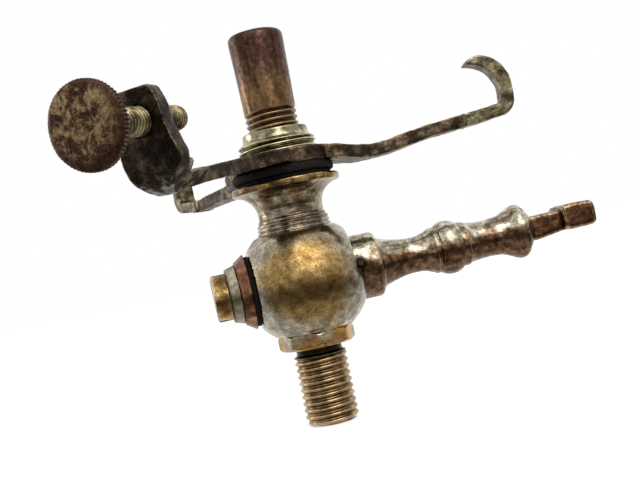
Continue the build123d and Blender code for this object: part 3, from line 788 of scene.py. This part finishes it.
def lofted(sections, place, around):
    """A closed bar through rounded rectangles: (z, half x, half y, centre y, corner exponent)."""
    verts, faces = [], []
    for z, half_x, half_y, centre_y, power in sections:
        for k in range(around):
            angle = 2 * math.pi * k / around
            c, d = math.cos(angle), math.sin(angle)
            x = half_x * math.copysign(abs(c) ** (2 / power), c)
            y = half_y * math.copysign(abs(d) ** (2 / power), d) + centre_y
            verts.append(place @ Vector((x, y, z)) * MM)
    for i in range(len(sections) - 1):
        for k in range(around):
            n = (k + 1) % around
            faces.append((i * around + k, i * around + n, (i + 1) * around + n, (i + 1) * around + k))
    faces.append(tuple(reversed(range(around))))
    faces.append(tuple(range(len(verts) - around, len(verts))))
    mesh = bpy.data.meshes.new("lofted")
    mesh.from_pydata(verts, [], faces)
    mesh.validate()
    return mesh


# The key frame's x is towards +Y and its y is up.
square_bar = [
    (43.0, 2.4, 2.35, -0.05, 5), (45.5, 2.45, 2.35, -0.05, 7), (49, 2.4, 2.15, 0.15, 7),
    (52, 2.35, 1.95, 0.4, 7),
]
cross_block = [
    (50.5, 3.3, 1.3, 0.65, 4), (50.65, 3.75, 1.95, 0.65, 6), (51.0, 4.0, 2.3, 0.65, 8),
    (52.0, 4.1, 2.45, 0.65, 9), (56.3, 4.1, 2.42, 0.65, 8), (56.9, 3.85, 2.1, 0.65, 6),
    (57.15, 3.3, 1.6, 0.65, 5),
]
lever_end = linked(lofted(square_bar, KEY_FRAME, 64), "lever_end")
block = linked(lofted(cross_block, KEY_FRAME, 64), "block")
cut_with(lever_end, block, "UNION")
soften_skin(lever_end, 0.14, 3)
roughen(lever_end, [(0.08, 0.35, 3.0), (0.04, 1.2, 5.0)])
piece(lever_end, "key", "key_nickel", KEY_PLATE, "tap_key")

# ---- Washers and screw on the key's small end ----
for name, near, far, r_near, r_far, inner, material, slot, node in (
    ("end_fibre", -9.6, -10.43, 6.55, 6.5, 3.5, LEATHER, "leather_black", "fibre_washer"),
    ("end_bevelled", -10.47, -12.38, 7.1, 5.85, 3.5, COPPER, "washer_copper", "bevelled_washer"),
    ("end_pale", -12.42, -14.38, 5.5, 4.95, 1.6, PALE, "washer_pale", "screw_washer"),
):
    ring = [(inner, near), (r_near, near, 0.2), (r_far, far, 0.25), (inner, far)]
    washer = linked(turned(ring, 96, KEY_FRAME, 0.2, closed=True), name)
    roughen(washer, [(0.05, 0.5, 8.0), (0.03, 1.7, 9.0)])
    piece(washer, "key", slot, material, node)

screw = worn_copy("key_screw", "end_screw", 0.12, 3)
roughen(screw, [(0.04, 0.6, 2.0)])
piece(screw, "key", "bare_brass", SCREW_GOLD, "key_screw")

# ---- Leather washers ----
LEATHER_HOLE_R = 7.36

for name, low, high, radius, bulge, node in (
    ("leather_thin", 18.62, 19.28, 8.8, 0.25, "thin_washer"),
    ("leather_thick", 19.32, 20.96, 9.55, 0.6, "thick_washer"),
):
    ring = from_key([
        (LEATHER_HOLE_R, low), (radius, low, bulge), (radius, high, bulge), (LEATHER_HOLE_R, high)])
    washer = linked(turned(ring, 120, BURNER_FRAME, 0.15, closed=True), name)
    roughen(washer, [(0.06, 0.4, 12.0), (0.05, 1.4, 13.0)])
    piece(washer, "tap", "leather_black", LEATHER, node)

# ---- Gallery ----
for node, name, material, slot, voxel in (
    ("gallery_spider", "gallery_plate", GALLERY, "gallery_brown", 0.11),
    ("gallery_hook_right", "hook_right", HOOK, "hook_olive", 0.14),
    ("gallery_hook_rear", "hook_rear", HOOK, "hook_olive", 0.14),
    ("gallery_ear", "ear", EAR, "gallery_brown", 0.15),
):
    part = worn_copy(node, name, voxel, round(SOFTENING / voxel**2))
    roughen(part, [(0.14, 0.22, 1.0), (0.08, 0.7, 2.0), (0.03, 1.8, 3.0)])
    piece(part, "gallery", slot, material, node, sharp=60)

# A low uneven bead of braze shows round each arm's end: (outwards, wider than the arm, half height).
BEAD_SECTIONS = (
    (-0.5, -0.15, 1.1), (-0.3, 0.02, 1.26), (0.0, 0.1, 1.34), (0.3, 0.02, 1.26), (0.5, -0.15, 1.1),
)

for name, azimuth, end, top, half_width in (
    ("braze_right", REST_TURN, 35.65, 24.5, 1.7),
    ("braze_rear", REST_TURN + 117, 33.9, 20.6, 1.9),
    ("braze_front", FRONT_AZIMUTH, 34.95, 20.75, 1.7),
):
    turn = math.radians(azimuth)
    outward = (math.cos(turn), math.sin(turn), 0)
    middle = (end * outward[0], end * outward[1], KEY_Z + top - 1.22)
    seam = axis_frame(middle, outward, (-outward[1], outward[0], 0))
    sections = [(z, half_width + wider, half_height, 0, 5) for z, wider, half_height in BEAD_SECTIONS]
    bead = linked(lofted(sections, seam, 72), name)
    roughen(bead, [(0.12, 0.9, 41.0), (0.05, 2.5, 42.0)])
    piece(bead, "gallery", "hook_olive", BRAZE)

# ---- Thumbscrew ----
SCREW_PITCH = 0.8
SCREW_DEPTH = 0.36
SHOULDER = 12.28


def shank_shape(r, z, angle):
    if r < 1.7 or z > 12.0:
        return r, z
    return r - thread_cut(angle, z, SCREW_PITCH, SCREW_DEPTH * smooth_step(z, -10.6, -9.6)), z


shank_line = [
    (0, -10.95), (1.1, -10.9, 0.4), (1.85, -10.4, 0.5), (2.05, -9.5, 0.5), (2.28, -2.5),
    (2.28, SHOULDER, 0.1), (1.48, SHOULDER), (1.48, 13.38), (0, 13.38),
]
shank = linked(turned(shank_line, 72, SCREW_FRAME, 0.09, shape=shank_shape), "thumb_shank")
piece(shank, "thumbscrew_shaft", "shank_brass", SHANK, "thumbscrew_shank")

KNURLS = 66
KNURL_DEPTH = 0.3
KNURL_INNER_R = 5.9
KNURL_TOP = 13.8


def head_shape(r, z, angle):
    if r < KNURL_INNER_R or z > KNURL_TOP:
        return r, z
    tooth = abs(2 * ((angle * KNURLS / (2 * math.pi)) % 1.0) - 1)
    worn = 0.7 + 0.3 * wobble((math.cos(angle), math.sin(angle), 0), 1.5, 21)
    rim = smooth_step(r, KNURL_INNER_R, 6.2) * smooth_step(z, KNURL_TOP, 13.5)
    return r - KNURL_DEPTH * worn * smooth_step(tooth, 0.2, 0.9) * rim, z


head_line = [
    (0, 14.14), (2.5, 14.12), (4.6, 14.05), (5.75, 13.93, 0.4), (6.3, 13.72, 0.3), (6.38, 13.5, 0.15),
    (6.38, 12.8, 0.2), (6.2, 12.45, 0.2), (5.7, 12.37), (1.56, 12.37), (1.56, 13.4), (0, 13.4),
]
knob = linked(turned(head_line, KNURLS * 8, SCREW_FRAME, 0.25, shape=head_shape), "thumb_head")
roughen(knob, [(0.05, 0.35, 17.0), (0.03, 1.2, 18.0)])
piece(knob, "thumbscrew_knob", "screw_patina", KNOB, "thumbscrew_head")

# ---- Burner tube ----
TUBE_PITCH = 1.1
TUBE_DEPTH = 0.42


def tube_shape(r, z, angle):
    high = z - KEY_Z
    if r < 4.7 or high > 33.0:
        return r, z
    fade = 1 - smooth_step(high, 31.6, 32.4)
    return r - thread_cut(angle, high, TUBE_PITCH, TUBE_DEPTH * fade), z


tube_line = from_key([
    (3.62, 22.15), (4.86, 22.15), (4.86, 32.0, 1.0), (4.95, 36.0, 1.0), (5.12, 43.5, 1.0),
    (5.2, 45.2, 0.8), (5.16, 46.2, 0.4), (4.75, 46.75, 0.4), (4.2, 46.9, 0.3), (3.35, 46.7, 0.2),
    (3.2, 46.4, 0.1), (3.2, 45.62), (3.62, 45.62),
])
tube = linked(
    turned(tube_line, 128, BURNER_FRAME, 0.12, closed=True, shape=tube_shape), "burner_tube_skin")
roughen(tube, [(0.05, 0.25, 31.0), (0.02, 1.1, 32.0)])
piece(tube, "tap", "tube_brass", TUBE, "burner_tube")

# ---- Floor ----
FLOOR_SIZE = 6.0
FLOOR_GAP = 0.00002
FLOOR_GLOW = 0.42


def flat_sheet(name, size, z):
    h = size / 2
    mesh = bpy.data.meshes.new(name)
    mesh.from_pydata([(-h, -h, z), (h, -h, z), (h, h, z), (-h, h, z)], [], [(0, 1, 2, 3)])
    return linked(mesh, name)


floor = flat_sheet("floor", FLOOR_SIZE, cad_low[2] - FLOOR_GAP)
floor_material = bpy.data.materials.new("floor_white")
floor_material.use_nodes = True
floor_shader = floor_material.node_tree.nodes["Principled BSDF"]
floor_shader.inputs["Base Color"].default_value = (0.86, 0.87, 0.88, 1)
floor_shader.inputs["Roughness"].default_value = 0.9
floor_shader.inputs["Emission Color"].default_value = (1, 1, 1, 1)
floor_shader.inputs["Emission Strength"].default_value = FLOOR_GLOW
floor.data.materials.append(floor_material)
floor.visible_glossy = False


# ---- Light ----
def soft_light(name, azimuth, elevation, distance, size, power, tint):
    away = towards(azimuth, elevation)
    data = bpy.data.lights.new(name, "AREA")
    data.shape = "DISK"
    data.size = size
    data.energy = power
    data.color = tint
    lamp = bpy.data.objects.new(name, data)
    lamp.location = AIM + away * distance
    lamp.rotation_mode = "QUATERNION"
    lamp.rotation_quaternion = (-away).to_track_quat("-Z", "Y")
    bpy.context.scene.collection.objects.link(lamp)


soft_light("key_light", 10, 40, 0.6, 0.55, 1.6, (1.0, 0.99, 0.97))
soft_light("fill_light", -115, 12, 0.7, 0.3, 0.5, (0.95, 0.97, 1.0))


def make_world():
    """White to the camera. Other rays meet white behind the object, and a dark band on the open side."""
    world = bpy.data.worlds.new("studio")
    bpy.context.scene.world = world
    world.use_nodes = True
    tree = world.node_tree
    background = tree.nodes["Background"]
    coordinates = tree.nodes.new("ShaderNodeTexCoord")
    parts = tree.nodes.new("ShaderNodeSeparateXYZ")
    tree.links.new(coordinates.outputs["Generated"], parts.inputs[0])
    depth = tree.nodes.new("ShaderNodeMapRange")
    depth.interpolation_type = "SMOOTHSTEP"
    depth.inputs["From Min"].default_value = -0.35
    depth.inputs["From Max"].default_value = 0.8
    tree.links.new(parts.outputs["Y"], depth.inputs["Value"])
    height = tree.nodes.new("ShaderNodeValToRGB")
    elements = height.color_ramp.elements
    stops = [(0.0, (0.55, 0.54, 0.53)), (0.2, (0.45, 0.44, 0.42)), (0.34, (0.08, 0.07, 0.06)),
             (0.42, (0.09, 0.08, 0.07)), (0.5, (0.8, 0.79, 0.77)), (0.56, (0.5, 0.49, 0.47)),
             (0.76, (0.95, 0.95, 0.95)), (1.0, (0.7, 0.7, 0.7))]
    while len(elements) < len(stops):
        elements.new(0.5)
    for element, (position, tint) in zip(elements, stops):
        element.position = position
        element.color = (*tint, 1)
    up = tree.nodes.new("ShaderNodeMapRange")
    up.inputs["From Min"].default_value = -1
    up.inputs["From Max"].default_value = 1
    tree.links.new(parts.outputs["Z"], up.inputs["Value"])
    tree.links.new(up.outputs["Result"], height.inputs[0])
    mix = tree.nodes.new("ShaderNodeMix")
    mix.data_type = "RGBA"
    mix.inputs[7].default_value = (1.0, 1.0, 1.0, 1)
    tree.links.new(depth.outputs["Result"], mix.inputs["Factor"])
    tree.links.new(height.outputs[0], mix.inputs[6])
    seen = tree.nodes.new("ShaderNodeLightPath")
    final = tree.nodes.new("ShaderNodeMix")
    final.data_type = "RGBA"
    final.inputs[7].default_value = (1.0, 1.0, 1.0, 1)
    tree.links.new(seen.outputs["Is Camera Ray"], final.inputs["Factor"])
    tree.links.new(mix.outputs[2], final.inputs[6])
    tree.links.new(final.outputs[2], background.inputs[0])


make_world()
bpy.context.scene.view_settings.view_transform = "Standard"

bpy.context.view_layer.update()
